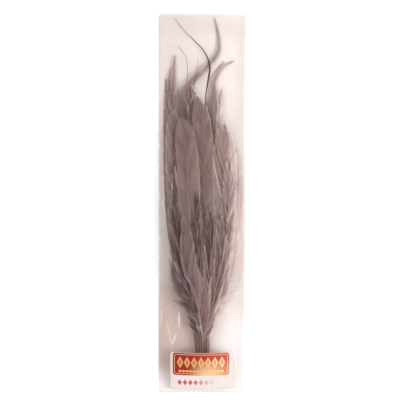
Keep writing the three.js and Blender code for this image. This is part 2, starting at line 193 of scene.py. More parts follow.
# The feathers from the back of the bunch to its front. A path runs from above the neck to the tip.
# left and right are half widths, blunt goes from 1 for a spear tip to 5 for a round one, thin is
# the length of narrow blade before the tip, and bare that of the shaft with no vane. shade goes
# from 0, dark taupe, to 1, pale down. split goes from 0 for a whole vane to 1 for one in pointed
# locks. down is the share of the vane up to the end of its loose fluff, fluff how far that spreads,
# and ragged the length of loose barbs at the tip. stout is the shaft's radius where the vane ends,
# and sets how thick a bare shaft gets, and shaft is how much lighter than plain its colour is.
FEATHERS = [
    dict(left=3.6, right=6, shade=0.5, split=0.12, ragged=4,
         path=[(-12, -92), (-24, -45), (-30, 10), (-30.5, 60), (-31, 95), (-32, 108)]),
    dict(left=6, right=5, thin=24, shade=0.58, split=0.12, ragged=5,
         path=[(2, -90), (6, -40), (8, 10), (8.5, 60), (9, 97), (12, 112), (18.5, 122.5)]),
    dict(left=8, right=5, blunt=2, shade=0.95, split=0.1, down=1.2, fluff=1.2,
         path=[(10, -92), (22, -50), (28, -10), (30, 12), (30.5, 33)]),
    dict(left=8, right=5.5, blunt=3, shade=1.1, split=0.1, down=1.2, fluff=1.5, shaft=0.7,
         path=[(8, -105), (16, -86), (24, -66), (28, -46), (29.5, -24)]),
    dict(left=5, right=7, shade=0.5, split=0.12, ragged=5,
         path=[(-10, -90), (-20, -45), (-26, 10), (-27.5, 60), (-28.5, 95), (-28, 116)]),
    dict(left=6, right=6, thin=26, shade=0.58, split=0.12, ragged=5,
         path=[(3, -90), (8, -40), (9.5, 10), (9.5, 60), (9, 92), (10.5, 107), (17, 116.5),
               (27, 122.5)]),
    dict(left=9, right=5.5, blunt=2, shade=0.9, split=0.1, down=0.9,
         path=[(9, -92), (20, -50), (26, 0), (28, 25), (29, 48)]),
    dict(left=6, right=6, thin=16, shade=0.85, split=0.2, ragged=16,
         path=[(5, -90), (12, -45), (15, 0), (15.5, 50), (14.5, 82), (16.8, 99.5)]),
    dict(left=6.5, right=7, thin=24, shade=0.5, split=0.12, ragged=5,
         path=[(-9, -90), (-19, -45), (-24, 10), (-25, 60), (-25.5, 95), (-25.2, 112),
               (-23.7, 128.5)]),
    dict(left=9.5, right=8, blunt=3, bare=36, stout=0.3, shade=0.24, split=0.5, ragged=34,
         path=[(-6, -90), (-12, -45), (-15, 10), (-15, 60), (-14.5, 92), (-13, 112), (-14.2, 125),
               (-21, 135.5)]),
    dict(left=7.5, right=7.5, thin=62, shade=0.46, split=0.05,
         path=[(-5, -90), (-9, -45), (-13, 10), (-16, 60), (-17, 84), (-14.5, 97), (-7.5, 106.5),
               (4, 117.5), (12.5, 128), (14.2, 139), (12.8, 149), (10.2, 160)]),
    dict(left=8, right=8, bare=28, stout=0.3, shade=0.22, split=0.9, ragged=30,
         path=[(-4, -90), (-6, -45), (-8, 10), (-9, 60), (-8.5, 92), (-5.5, 112), (-3.5, 125)]),
    dict(left=8, right=7, blunt=2, shade=0.82, split=0.12, down=0.65,
         path=[(8, -92), (17, -50), (22, -5), (23.5, 35), (22.5, 62)]),
    dict(left=6.5, right=7, blunt=3, shade=0.5, split=0.2,
         path=[(-9, -92), (-19, -50), (-24.5, 0), (-26, 40), (-26, 80)]),
    dict(left=7, right=7, bare=84, stout=0.95, shade=0.5, split=0.9, shaft=-0.95,
         path=[(2, -90), (4, -45), (4.5, 10), (3.5, 60), (2.5, 89), (5.2, 108), (6.3, 117),
               (2.2, 129.5), (-7, 140), (-16.5, 149.5), (-24.3, 160)]),
    dict(left=9, right=8, blunt=2, shade=0.26, split=0.6, ragged=50,
         path=[(-4, -90), (-9, -45), (-13, 0), (-14, 45), (-12, 75), (-8.5, 98)]),
    dict(left=11.5, right=7, blunt=2, shade=0.66, split=0.3,
         path=[(6, -90), (14, -50), (18, -5), (19, 35), (18.5, 70)]),
    dict(left=9, right=9, blunt=2, shade=0.14, split=0.6, ragged=34,
         path=[(0, -90), (-1, -40), (-3, 10), (-3.5, 50), (-3, 84)]),
    dict(left=8.8, right=8.8, blunt=2.2, shade=0.38, split=0.1, shaft=-0.1,
         path=[(1, -90), (3, -40), (1.5, 10), (0.5, 50), (-1.5, 75), (-5.5, 92.5)]),
    dict(left=7, right=6.5, blunt=2, shade=0.56, split=0.6, down=0.4,
         path=[(7, -100), (14, -78), (18, -50), (21, -15), (23, 5), (22, 39)]),
    dict(left=7.5, right=8, blunt=2, shade=0.1, split=0.8, down=0.62, fluff=1.75,
         path=[(-5, -108), (-10, -88), (-17, -67), (-21, -45), (-23.5, -20), (-24.5, 8)]),
    dict(left=8, right=8, blunt=2, shade=0.25, split=0.9, down=0.4,
         path=[(-6, -98), (-14, -60), (-19, -25), (-21, 5), (-21.5, 36)]),
    dict(left=9, right=10.5, blunt=2.6, shade=0.38, split=0.05, shaft=0.1,
         path=[(-4, -95), (-9, -50), (-12, 0), (-13.5, 35), (-16, 58), (-19, 74)]),
    dict(left=6, right=7, blunt=1.5, shade=0.04, split=0.9, down=0.6, fluff=1.75,
         path=[(-5.5, -102), (-14, -68), (-20, -36), (-23.5, -8), (-25, 13)]),
    dict(left=8, right=7.5, blunt=1.5, shade=0, split=1,
         path=[(-2, -95), (-4, -55), (-5, -25), (-5, 11)]),
    dict(left=7, right=8, blunt=1.5, shade=0.11, split=1,
         path=[(3, -95), (6, -60), (7, -30), (5, -2)]),
    dict(left=7, right=7.5, blunt=1.5, shade=0.38, split=0.9,
         path=[(6, -98), (12, -70), (15.5, -45), (15.5, -10)]),
    dict(left=2, right=12, blunt=5, shade=0.31, split=0.12, down=0.32, fluff=1.3, stout=0.1,
         shaft=0.32,
         path=[(0.2, -118), (-1.8, -100), (-4.7, -86), (-8.5, -72), (-14.5, -59), (-17.3, -46),
               (-17.6, -33), (-17, -22)]),
]
PLAIN_FEATHER = dict(blunt=1, thin=0, bare=0, stout=TIP_RADIUS, split=0.25, down=0.32, fluff=1.15,
                     ragged=0, shaft=0)

# Barbs. Of a pair, the first is for a whole vane and the second is what one in locks adds.
BARB_POINTS = 8
PITCH_JITTER = 0.2
FLUFFY_SOFTNESS = 0.25
DOWN_STRANDS = 4
LOCK_WIDTHS = (1.6, 7)
WEBBY_LOCKS = 2.2
WEBBY_FROM = 20
WEBBY_TO = 90
LOCK_AIM = 0.7
SHORT_LOCKS = (0.05, 0.22)
SHORT_DOWN = (0.1, 0.2)
UNEVEN_BARBS = (0.03, 0.09)
UNEVEN_DOWN = 0.25
SWEEP = (1, 0.75)
FOOT_SWEEP = 1.1
FLUFF_FROM = 28
FLUFF_TO = 42
FLUFF_REACH = (0.6, 1.12)
WAVY_REACH = 7
WAVE_ALONG = 1.5
WAVE_OUT = 0.5
STRAY_OUT = 0.9
BOWED_REACH = 6
BOW_OUT = 1.1
SNAKE_OUT = 0.6
LIFT_ROOM = 0.46
BARB_ROLL = 0.42

# Tones of barbs, from 0 for the darkest to 1 for the palest
DARKEST_VANE = 0.19
SHADE_TONE = 0.68
LOCK_TONE = (0.03, 0.17)
BARB_TONE = (0.04, 0.05)
ROUGH_TONE = 0.2
SOFT_TONE = 0.12
FOOT_BARB_TONE = 0.16
FOOT_LOCK_TONE = 0.2
# A few barbs get painted glints
PAINTED_GLINT_TONE = (0.06, 0.16)
PAINTED_GLINT_FROM = 0.92
# Painted shade darkens barbs towards the shaft
INNER_SHADE_TONE = (0.08, 0.06)
EDGE_TONE = 0.26
TIPS_TONE = 0.22
TIPS_TONE_Y = (85, 125)

# Photograph: the width of the view and the point of the sleeve's plane in its middle
VIEW_WIDTH = 345.5
VIEW_CENTRE = (-2.2, 2.6)


def lerp(a, b, share):
    return a + (b - a) * share


def smoothstep(x, low, high):
    share = np.clip((x - low) / (high - low), 0, 1)
    return share * share * (3 - 2 * share)


def linear(red, green, blue):
    """A colour's linear values from its display values, 0 to 255."""
    shares = (channel / 255 for channel in (red, green, blue))
    return tuple(s / 12.92 if s <= 0.04045 else ((s + 0.055) / 1.055) ** 2.4 for s in shares)


# Where things lie
def front_middle(y):
    return np.interp(y, FRONT_PROFILE[:, 0], FRONT_PROFILE[:, 1])


def cross_fullness(x, half_width):
    across = np.minimum(np.abs(x) / half_width, 1)
    return (1 - across ** 4) ** 0.6


def front_inside(x, y):
    bulge = (front_middle(y) - FILM) * cross_fullness(x, SLEEVE_HALF_WIDTH - SEAM_WIDTH)
    return FILM + np.maximum(SEAM_OPENING, bulge)


def layer_spacing(x, y):
    neck = lerp(NECK_CLOSENESS, 1, smoothstep(y, VANE_START_Y, FULL_STACK_Y))
    tips = lerp(1, TIP_CLOSENESS, smoothstep(y, TIPS_Y, SLEEVE_HALF_LENGTH))
    side = 1 - SIDE_DROP * (x / SIDE_REACH) ** 2
    return STACK_HEIGHT / len(FEATHERS) * neck * tips * side


def spread(y):
    """0 in the bound quills, and 1 where the feathers lie in their layers."""
    return smoothstep(y, NECK_Y, VANE_START_Y)


def quill_place(layer):
    """Where a feather's quill stands in the stack: each row is in the order of the fan."""
    first = 0
    row = 0
    while layer >= first + ROW_SIZES[row]:
        first += ROW_SIZES[row]
        row += 1
    in_row = sorted(range(first, first + ROW_SIZES[row]), key=lambda i: FEATHERS[i]["path"][0][0])
    column = in_row.index(layer) - (ROW_SIZES[row] - 1) / 2
    return column * QUILL_PITCH_X, QUILL_FLOOR_Z + row * QUILL_PITCH_Z


class Shaft:
    """The line of a feather's shaft from the quill's end to the tip, by its length."""

    SAMPLES = 60

    def __init__(self, layer):
        self.layer = layer
        self.feather = {**PLAIN_FEATHER, **FEATHERS[layer]}
        quill_x, self.quill_z = quill_place(layer)
        knots = [(quill_x, QUILL_END_Y), (quill_x, NECK_Y), *self.feather["path"]]
        self.points = self.curve(np.array(knots, float))
        steps = np.hypot(*np.diff(self.points, axis=0).T)
        self.distances = np.concatenate([[0], np.cumsum(steps)])
        self.tangents = np.gradient(self.points, self.distances, axis=0)
        self.tangents /= np.linalg.norm(self.tangents, axis=1, keepdims=True)
        self.length = self.distances[-1]
        self.vane_from = VANE_START_Y - QUILL_END_Y
        self.vane_length = self.length - self.vane_from
        self.blade_end = self.vane_length - self.feather["bare"]

    def curve(self, knots):
        """A centripetal Catmull-Rom curve through the knots."""
        ends = [2 * knots[0] - knots[1], *knots, 2 * knots[-1] - knots[-2]]
        share = np.linspace(0, 1, self.SAMPLES, endpoint=False)[:, None]
        pieces = []
        for before, start, end, after in zip(ends, ends[1:], ends[2:], ends[3:]):
            first, middle, last = (
                np.linalg.norm(b - a) ** 0.5
                for a, b in ((before, start), (start, end), (end, after))
            )
            leave = (start - before) / first - (end - before) / (first + middle)
            leave = (leave + (end - start) / middle) * middle
            arrive = (end - start) / middle - (after - start) / (middle + last)
            arrive = (arrive + (after - end) / last) * middle
            square = 3 * (end - start) - 2 * leave - arrive
            cube = 2 * (start - end) + leave + arrive
            pieces.append(start + leave * share + square * share ** 2 + cube * share ** 3)
        return np.concatenate([*pieces, knots[-1:]])

    def at(self, distance):
        """The shaft's place and direction at a distance, straight on past the tip."""
        x, y, along_x, along_y = (
            np.interp(distance, self.distances, column)
            for column in (*self.points.T, *self.tangents.T)
        )
        past = np.maximum(distance - self.length, 0)
        return x + along_x * past, y + along_y * past, along_x, along_y

    def height(self, x, y):
        layered = STACK_FLOOR_Z + (self.layer + 0.5) * layer_spacing(x, y)
        return lerp(self.quill_z, layered, spread(y))

    def room(self, x, y):
        """Space from one feather to the next."""
        return lerp(QUILL_PITCH_Z, layer_spacing(x, y), spread(y))

    def vane_share(self, distance):
        """Half width of the vane as a share of its widest."""
        blunt, thin = self.feather["blunt"], self.feather["thin"]
        end = self.blade_end
        shoulder = max(SHOULDER_SHARE * end, end - thin - SHOULDER_LENGTH)
        body_end = end - THIN_OVERLAP * thin
        past = np.clip((distance - shoulder) / (body_end - shoulder), 0, 1)
        body = (1 - past ** (blunt + 0.6)) ** 0.8
        to_end = np.clip((end - distance) / max(thin, 1), 0, 1)
        blade = THIN_SHARE * to_end ** 0.6 * (thin > 0)
        return smoothstep(distance, 0, VANE_RISE * end) * np.maximum(body, blade)

    def raggedness(self, distance):
        """1 in the loose, rough barbs at a ragged tip."""
        ragged_from = self.blade_end - self.feather["ragged"]
        return smoothstep(distance, ragged_from, self.blade_end + 1)

    def softness(self, distance):
        """0 where the barbs hold together in a web, and 1 where they are loose."""
        down_to = self.feather["down"] * self.blade_end
        foot = 1 - smoothstep(distance, 0.45 * down_to, down_to + 6)
        return np.maximum(foot, RAGGED_SOFTNESS * self.raggedness(distance))

    def past_blade(self, distance):
        """How far along the bare shaft: 0 to 1 to where it is stoutest, and 1 to 2 to the tip."""
        on_vane = distance - self.vane_from
        stoutest = self.blade_end + STOUTEST_SHARE * self.feather["bare"] + 0.01
        return (smoothstep(on_vane, self.blade_end, stoutest)
                + smoothstep(on_vane, stoutest, self.vane_length + 0.02))

    def radius(self, distance):
        """Radius of the shaft at a distance from the quill's end."""
        _, y, _, _ = self.at(distance)
        to_end = np.clip((distance - self.vane_from) / self.blade_end, 0, 1)
        stout = self.feather["stout"]
        along_blade = lerp(SHAFT_RADIUS, min(stout, SHAFT_RADIUS), to_end)
        past = self.past_blade(distance)
        bare = lerp(along_blade, BARE_STOUTNESS * stout, np.minimum(past, 1))
        bare = lerp(bare, TIP_RADIUS, np.maximum(past - 1, 0) ** 0.5)
        return lerp(QUILL_RADIUS, bare, spread(y))


# Meshes
class Strands:
    """Ribbons and tubes gathered into one mesh, with a tone for each of their points."""

    def __init__(self):
        self.points, self.quads, self.tones, self.maps, self.materials = [], [], [], [], []
        self.count = 0

    def add(self, points, quads, tones, maps, material):
        self.points.append(points.reshape(-1, 3))
        self.quads.append(quads + self.count)
        self.tones.append(tones.ravel())
        self.maps.append(maps.reshape(-1, 2))
        self.materials.append(np.full(len(quads), material))
        self.count += points.size // 3

    def ribbons(self, middles, sides, tones, maps, material):
        """Flat strips along rows of points, sides giving half of the way across each."""
        points = np.stack([middles - sides, middles + sides], axis=2)
        rows, length = middles.shape[:2]
        corner = 2 * np.arange(rows * length).reshape(rows, length)[:, :-1]
        quads = np.stack([corner, corner + 2, corner + 3, corner + 1], axis=-1).reshape(-1, 4)
        both = (rows, length, 2)
        self.add(points, quads, np.broadcast_to(tones[..., None], both),
                 np.broadcast_to(maps[:, :, None, :], (*both, 2)), material)

    def tube(self, rings, tones, maps, material):
        """A skin over closed rings of points, with a flat end on the first and the last."""
        length, around = rings.shape[:2]
        here = np.arange(length * around).reshape(length, around)
        there = np.roll(here, -1, axis=1)
        quads = np.stack([here[:-1], there[:-1], there[1:], here[1:]], axis=-1).reshape(-1, 4)
        end = np.array([(i, i + 1, around - 2 - i, around - 1 - i) for i in range(around // 2 - 1)])
        quads = np.concatenate([quads, here[0][end[:, ::-1]], here[-1][end]])
        self.add(rings, quads, np.broadcast_to(tones[:, None], (length, around)),
                 np.broadcast_to(maps[:, None, :], (length, around, 2)), material)

    def weld(self):
        """Joins the points that lie in one place."""
        points = np.concatenate(self.points)
        _, first, place = np.unique(points.round(3), axis=0, return_index=True, return_inverse=True)
        self.points = [points[first]]
        self.tones = [np.concatenate(self.tones)[first]]
        self.maps = [np.concatenate(self.maps)[first]]
        self.quads = [place.ravel()[np.concatenate(self.quads)]]

    def mesh(self, name):
        mesh = grid_mesh(name, np.concatenate(self.points), np.concatenate(self.quads))
        mesh.polygons.foreach_set("material_index", np.concatenate(self.materials).astype(np.int32))
        tone = mesh.attributes.new("tone", "FLOAT", "POINT")
        tone.data.foreach_set("value", np.concatenate(self.tones).astype(np.float32))
        set_map(mesh, np.concatenate(self.maps))
        return mesh


def grid_mesh(name, points, quads):
    """A smooth mesh from points in millimetres."""
    mesh = bpy.data.meshes.new(name)
    mesh.vertices.add(len(points))
    mesh.vertices.foreach_set("co", (np.asarray(points, np.float32) * MM).ravel())
    mesh.loops.add(quads.size)
    mesh.loops.foreach_set("vertex_index", quads.astype(np.int32).ravel())
    mesh.polygons.add(len(quads))
    mesh.polygons.foreach_set("loop_start", np.arange(0, quads.size, 4, dtype=np.int32))
    mesh.update(calc_edges=True)
    mesh.polygons.foreach_set("use_smooth", np.ones(len(quads), bool))
    return mesh


def set_map(mesh, places):
    """Gives each corner the map place of its point."""
    corners = np.empty(len(mesh.loops), np.int32)
    mesh.loops.foreach_get("vertex_index", corners)
    layer = mesh.uv_layers.new(name="surface")
    layer.uv.foreach_set("vector", np.asarray(places, np.float32)[corners].ravel())


def show(name, mesh, paints, slot_name, *nodes):
    """Puts a piece in the scene, in place of its nodes."""
    for paint in paints:
        mesh.materials.append(paint)
    piece = bpy.data.objects.new(name, mesh)
    bpy.context.scene.collection.objects.link(piece)
    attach(piece, "root")
    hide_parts(*nodes)


def grid_quads(rows, columns):
    corner = np.arange(rows * columns).reshape(rows, columns)
    a, b, c, d = corner[:-1, :-1], corner[:-1, 1:], corner[1:, 1:], corner[1:, :-1]
    return np.stack([a, b, c, d], axis=-1).reshape(-1, 4)


class Ripple:
    """A smooth random height from -1 to 1, made of many waves in random directions."""

    WAVES = 28

    def __init__(self, seed, shortest, longest, lean=(1, 1)):
        dice = np.random.default_rng(seed)
        turn = dice.uniform(0, 2 * math.pi, self.WAVES)
        pace = 2 * math.pi / np.exp(dice.uniform(math.log(shortest), math.log(longest), self.WAVES))
        self.pace_x = np.cos(turn) * pace * lean[0]
        self.pace_y = np.sin(turn) * pace * lean[1]
        self.start = dice.uniform(0, 2 * math.pi, self.WAVES)

    def __call__(self, x, y):
        total = sum(
            np.sin(x * px + y * py + start)
            for px, py, start in zip(self.pace_x, self.pace_y, self.start)
        )
        return total / math.sqrt(self.WAVES)


# Materials
class Wire:
    """One socket of a material. Arithmetic on it adds Math nodes."""

    def __init__(self, paint, socket):
        self.paint = paint
        self.socket = socket

    def maths(self, operation, *values):
        return self.paint.node("Math", {"operation": operation}, dict(enumerate(values)))

    def __add__(self, other):
        return self.maths("ADD", self, other)

    def __sub__(self, other):
        return self.maths("SUBTRACT", self, other)

    def __rsub__(self, other):
        return self.maths("SUBTRACT", other, self)

    def __mul__(self, other):
        return self.maths("MULTIPLY", self, other)

    def __abs__(self):
        return self.maths("ABSOLUTE", self)

    def __pow__(self, power):
        return self.maths("POWER", self, power)

    __radd__ = __add__
    __rmul__ = __mul__

    def over(self, other):
        """The larger of two values."""
        return self.maths("MAXIMUM", self, other)

    def under(self, other):
        """The smaller of two values."""
        return self.maths("MINIMUM", self, other)

    def swing(self, amount):
        """A noise as a change to either side of nothing."""
        return (self - 0.5) * amount

    def within(self, low, high):
        """0 below low and 1 above high, smooth between them."""
        settings = {"interpolation_type": "SMOOTHSTEP"}
        return self.paint.node("MapRange", settings, {"Value": self, 1: low, 2: high})


class Paint:
    """A material under construction, with one Principled shader."""

    def __init__(self, name):
        self.material = bpy.data.materials.new(name)
        self.material.use_nodes = True
        self.nodes = self.material.node_tree.nodes
        self.links = self.material.node_tree.links
        self.nodes.clear()

    def node(self, kind, settings, sockets, output=0):
        """Adds a node: its settings are set first, and then the values or wires of its sockets."""
        made = self.nodes.new("ShaderNode" + kind)
        for name, value in settings.items():
            if name == "stops":
                self.set_stops(made.color_ramp.elements, value)
            else:
                setattr(made, name, value)
        for name, value in sockets.items():
            if isinstance(value, Wire):
                self.links.new(value.socket, made.inputs[name])
            else:
                made.inputs[name].default_value = value
        return Wire(self, made.outputs[output]) if made.outputs else made

    def set_stops(self, elements, stops):
        while len(elements) < len(stops):
            elements.new(1)
        for element, (place, colour) in zip(elements, stops):
            element.position = place
            element.color = (*colour, 1)

    def mix(self, share, a, b, blend="MIX"):
        """A colour between two."""
        a, b = (c if isinstance(c, Wire) else (*c, 1) for c in (a, b))
        settings = {"data_type": "RGBA", "blend_type": blend}
        return self.node("Mix", settings, {0: share, 6: a, 7: b}, output=2)

    def tone(self):
        return self.node("Attribute", {"attribute_name": "tone"}, {}, output="Fac")

    def place(self):
        return self.node("TexCoord", {}, {}, output="Object")

    def map(self):
        return self.node("UVMap", {"uv_map": "surface"}, {})

    def axis(self, place, axis):
        return self.node("SeparateXYZ", {}, {0: place}, output=axis)

    def stretch(self, place, scale):
        return self.node("VectorMath", {"operation": "MULTIPLY"}, {0: place, 1: scale})

    def noise(self, place, scale, detail=2, roughness=0.5):
        sockets = {"Vector": place, "Scale": scale, "Detail": detail, "Roughness": roughness}
        return self.node("TexNoise", {}, sockets)

    def bump(self, height, distance, strength=1):
        sockets = {"Height": height, "Distance": distance, "Strength": strength}
        return self.node("Bump", {}, sockets)

    def finish(self, **sockets):
        """Ends in the shader, whose sockets are given with _ for a space."""
        named = {name.replace("_", " "): value for name, value in sockets.items()}
        shader = self.node("BsdfPrincipled", {}, named)
        self.node("OutputMaterial", {}, {"Surface": shader})
        return self.material


def paint_vane(settings):
    """Webby barbs: a tone for each, mottled in patches, with fine cross lines of barbules."""
    paint = Paint("feather_barbs")
    place = paint.place()
    mottle = paint.noise(paint.stretch(place, (1, 0.5, 1)), scale=170, detail=3)
    grain = paint.noise(place, scale=2600)
    patches = paint.noise(place, scale=26).within(0.38, 0.62)
    barbules = paint.noise(paint.stretch(paint.map(), (2200, 40, 1)), scale=1, detail=1)
    colour = paint.node("ValToRGB", {"stops": [
        (0, tuple(settings.shadow)),
        (0.3, tuple(settings.dark)),
        (0.62, tuple(settings.middle)),
        (1, tuple(settings.pale)),
    ]}, {0: paint.tone() + mottle.swing(0.22) + grain.swing(0.12)})
    hue = paint.mix(patches, COOL_PATCH, WARM_PATCH)
    return paint.finish(
        Base_Color=paint.mix(1, colour, hue, blend="MULTIPLY"),
        Roughness=0.62 + grain.swing(0.2),
        Specular_IOR_Level=0.25,
        Sheen_Weight=0.08,
        Sheen_Roughness=0.4,
        Normal=paint.bump(barbules, distance=0.00006, strength=0.6),
    )


def paint_shaft(settings):
    """Horny shafts: brown where they are bound and where they are darkest."""
    paint = Paint("feather_shaft")
    place = paint.place()
    above_neck = paint.axis(place, 1).within(*HORN_ALONG)
    streak = paint.noise(paint.stretch(place, (1, 0.08, 1)), scale=2500)
    horn = paint.node("ValToRGB", {"stops": [
        (0, tuple(settings.whip)),
        (0.5, tuple(settings.dark)),
        (1, tuple(settings.horn)),
    ]}, {0: paint.tone() + streak.swing(0.25)})
    return paint.finish(
        Base_Color=paint.mix(above_neck, tuple(settings.quill), horn),
        Roughness=0.38 + streak * 0.12,
        Normal=paint.bump(streak, distance=0.00004, strength=0.5),
    )


def paint_film(name, settings, clearness):
    """Film: faintly tinted, with painted shade to the left and low down and painted light towards
    the bottom, and hazy along creases and seams, where the haze holds painted highlights and
    painted light.
    """
    paint = Paint(name)
    haze_and_highlight = paint.tone()
    place = paint.place()
    x, y = paint.axis(place, 0), paint.axis(place, 1)
    cloud = paint.noise(place, scale=30, detail=3)
    scuff = paint.noise(paint.stretch(place, (1, 0.25, 1)), scale=900, detail=3, roughness=0.7)
    # Painted shade: the film darkens to the left, most in a band low down where the bunch's shadow
    # falls, and painted light makes it paler towards the bottom around the card
    left = 1 - (x + cloud.swing(0.03)).within(*SHADE_ACROSS)
    low = y.within(*SHADE_START) * (1 - y.within(*SHADE_END))
    milk_and_shade = 0.08 + 0.38 * y.within(*PAINTED_LIGHT_ALONG) + left * (low * 1.5 + 0.2) + cloud.swing(0.5)
    tint = paint.mix(milk_and_shade, tuple(settings.tint_thin), tuple(settings.tint))
    # Painted reflection: the film turns more opaque towards grazing angles, standing in for its
    # gloss
    slant = paint.node("LayerWeight", {}, {"Blend": 0.5}, output="Facing")
    return paint.finish(
        Base_Color=paint.mix(haze_and_highlight.within(0.1, 0.6), tint, tuple(settings.haze_and_highlight)),
        Roughness=0.16 + scuff * 0.16,
        Specular_IOR_Level=0.1,
        Alpha=(1 - clearness) * (0.6 + 0.5 * milk_and_shade) + haze_and_highlight * 0.6 + 0.3 * slant ** 3,
        Normal=paint.bump(scuff, distance=0.00005, strength=0.4),
    )


def paint_card(settings):
    """White card: a red panel with a keyline and gold lozenges, and a row of red ones below it.
    Painted light pales the panel and the gold to the right and top, and a painted glare pales the
    panel low down.
    """
    paint = Paint("printed_card")
    place = paint.map()
    x, y = (paint.axis(place, axis) * MAP_SIZE for axis in (0, 1))
    fibre = paint.noise(paint.place(), scale=1800, detail=4, roughness=0.7)
    worn = paint.noise(paint.place(), scale=260, detail=3)

    def box(half_x, half_y, corner):
        """Distance outside a rounded box in the middle of the panel."""
        over_x = abs(x - PANEL_X) - (half_x - corner)
        over_y = abs(y - PANEL_Y) - (half_y - corner)
        outside = (over_x.over(0) ** 2 + over_y.over(0) ** 2) ** 0.5
        return outside + over_x.over(over_y).under(0) - corner

    def line(distance, half):
        return 1 - abs(distance).within(half * 0.5, half * 1.3)

    def lozenges(step, half_height, middle_y):
        """Distance from the middles of a row of lozenges, 1 at their outline."""
        ahead = x - PANEL_X + 100 * step
        along = paint.node("Math", {"operation": "FLOORED_MODULO"}, {0: ahead + step / 2, 1: step})
        return abs(along - step / 2) * (2.1 / step) + abs(y - middle_y) * (1 / half_height)

    def inside(half_x):
        return 1 - abs(x - PANEL_X).within(half_x - 0.2, half_x + 0.2)

    panel = 1 - box(*PANEL_BOX).within(-0.15, 0.15)
    keyline = line(box(*KEYLINE_BOX), KEYLINE_HALF)
    large = lozenges(*LARGE_LOZENGES)
    bands = (1 - large.within(0.9, 1)) * large.within(0.42, 0.52) + (1 - large.within(0.16, 0.26))
    small = 1 - lozenges(*SMALL_LOZENGES).within(0.8, 1)
    rule = line(y - SMALL_LOZENGES[2], RULE_HALF)
    gilding = (bands * inside(LARGE_ROW_HALF) + (small + rule) * inside(SMALL_ROW_HALF)).under(1)
    foot = (1 - lozenges(*FOOT_LOZENGES).within(0.75, 1)) * inside(FOOT_ROW_HALF)

    # Painted light pales the panel and the gold to the right and top, with the worn noise
    # roughening its edge and adding worn patches to the gold, and a painted glare pales the panel
    # low down right of its middle
    lit = (x + y * 0.4 + worn.swing(8)).within(-14, 26)
    glare = x.within(-14, 4) * (1 - 0.6 * x.within(8, 20)) * (0 - y).within(4, 17)
    red = paint.mix(lit * 0.8, tuple(settings.panel), tuple(settings.panel_glare))
    red = paint.mix(glare * 0.52, red, tuple(settings.pale_gold_and_glare))
    gold = paint.mix(lit * 0.7 + worn * 0.3, tuple(settings.gold), tuple(settings.pale_gold_and_glare))
    keyline_ink = paint.mix(0.55, red, tuple(settings.pale_gold_and_glare))
    paper = paint.mix((fibre - 0.3) * 0.2, tuple(settings.paper), PAPER_FIBRE)
    colour = paint.mix(panel, paper, red)
    colour = paint.mix(keyline * panel, colour, keyline_ink)
    colour = paint.mix(gilding * panel, colour, gold)
    colour = paint.mix(foot * (1 - x.within(-12, 16)) * 0.85, colour, tuple(settings.panel))
    return paint.finish(
        Base_Color=colour,
        Roughness=0.5 + fibre * 0.15 - panel * 0.15,
        Specular_IOR_Level=0.15,
        Normal=paint.bump(fibre, distance=0.00004, strength=0.4),
    )


def paint_thread(settings):
    """Undyed cotton: short fibres along the ply."""
    paint = Paint("cotton_thread")
    fibre = paint.noise(paint.stretch(paint.map(), (60, 900, 1)), scale=1, detail=3)
    wear = paint.noise(paint.place(), scale=700)
    return paint.finish(
        Base_Color=paint.mix(fibre * 0.6 + wear * 0.2, tuple(settings.light), tuple(settings.worn)),
        Roughness=0.8 + wear * 0.1,
        Sheen_Weight=0.3,
        Normal=paint.bump(fibre, distance=0.00006, strength=0.7),
    )


def paint_floor(settings):
    """Matt white board."""
    paint = Paint("white_board")
    tooth = paint.noise(paint.place(), scale=600, detail=4)
    return paint.finish(
        Base_Color=paint.mix(tooth * 0.1, tuple(settings.floor), BOARD_TOOTH),
        Roughness=0.9,
        Normal=paint.bump(tooth, distance=0.00003, strength=0.2),
    )


# Feathers
class Locks:
    """The locks that a vane's barbs hold together in, with random traits from -1 to 1."""

    def __init__(self, shaft, edge, dice):
        marks = [0.0]
        while marks[-1] < shaft.blade_end:
            webby = smoothstep(marks[-1], WEBBY_FROM, WEBBY_TO)
            wider = lerp(1, WEBBY_LOCKS - shaft.feather["split"], webby)
            marks.append(marks[-1] + dice.uniform(*LOCK_WIDTHS) * wider)
        marks = np.array(marks)
        lock = np.searchsorted(marks, edge, side="right") - 1
        start, end = marks[lock], marks[lock + 1]
        self.aim = lerp(start, end, LOCK_AIM)
        self.from_middle = 2 * (edge - start) / (end - start) - 1
        traits = (dice.uniform(-1, 1, len(marks))[lock] for _ in range(5))
        self.lift, self.tone, self.short, self.sweep, self.gather = traits


def barb_edges(shaft, pitch, dice):
    """Where each barb meets the vane's edge, and which are the extra strands of the fluff."""
    edge = np.arange(pitch, shaft.blade_end - pitch, pitch)
    edge = edge + dice.uniform(-PITCH_JITTER, PITCH_JITTER, len(edge)) * pitch
    fluffy = edge[shaft.softness(edge) > FLUFFY_SOFTNESS]
    extra = np.tile(fluffy, DOWN_STRANDS - 1)
    stray = np.concatenate([np.zeros(len(edge)), np.ones(len(extra))])
    return np.concatenate([edge, extra])[:, None], stray[:, None]


